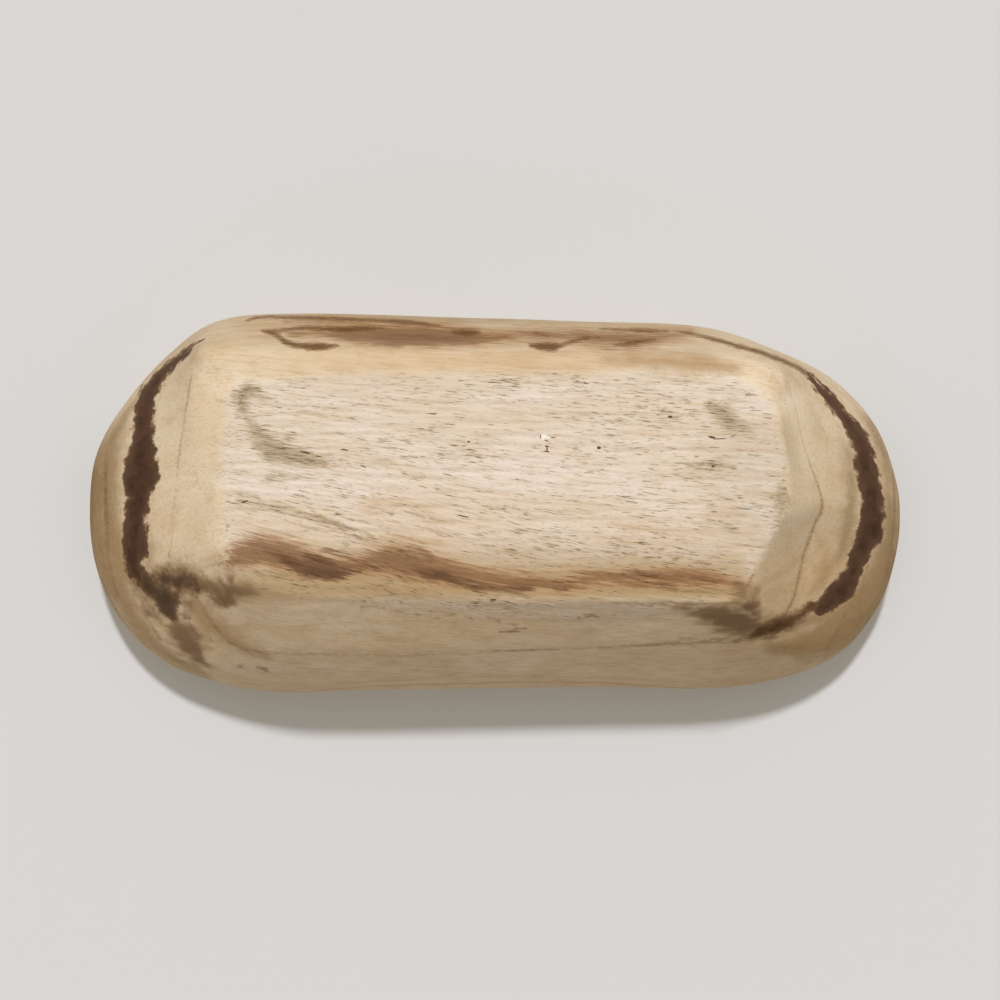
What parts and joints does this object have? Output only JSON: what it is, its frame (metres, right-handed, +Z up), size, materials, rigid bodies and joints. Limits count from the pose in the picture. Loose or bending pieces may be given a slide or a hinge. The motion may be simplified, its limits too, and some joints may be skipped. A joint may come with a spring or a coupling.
{
  "type": "dough bowl",
  "caption": "Long oval dough bowl, hand-carved from a solid block of pale wood, with a flat rough-sawn base, adzed chamfers, a swelling wall and a rounded rim.",
  "frame": {"origin": "on the resting plane, under the middle of the rim's outline", "axes": "+X along the bowl's long axis, +Y across it, +Z up out of the opening"},
  "size_m": [0.254, 0.119, 0.062],
  "materials": {
    "carved_wood": "raw pale wood with dark heartwood streaks, sawn base and scraped walls"
  },
  "bodies": {
    "root": {"bowl": "carved_wood"}
  },
  "joints": []
}
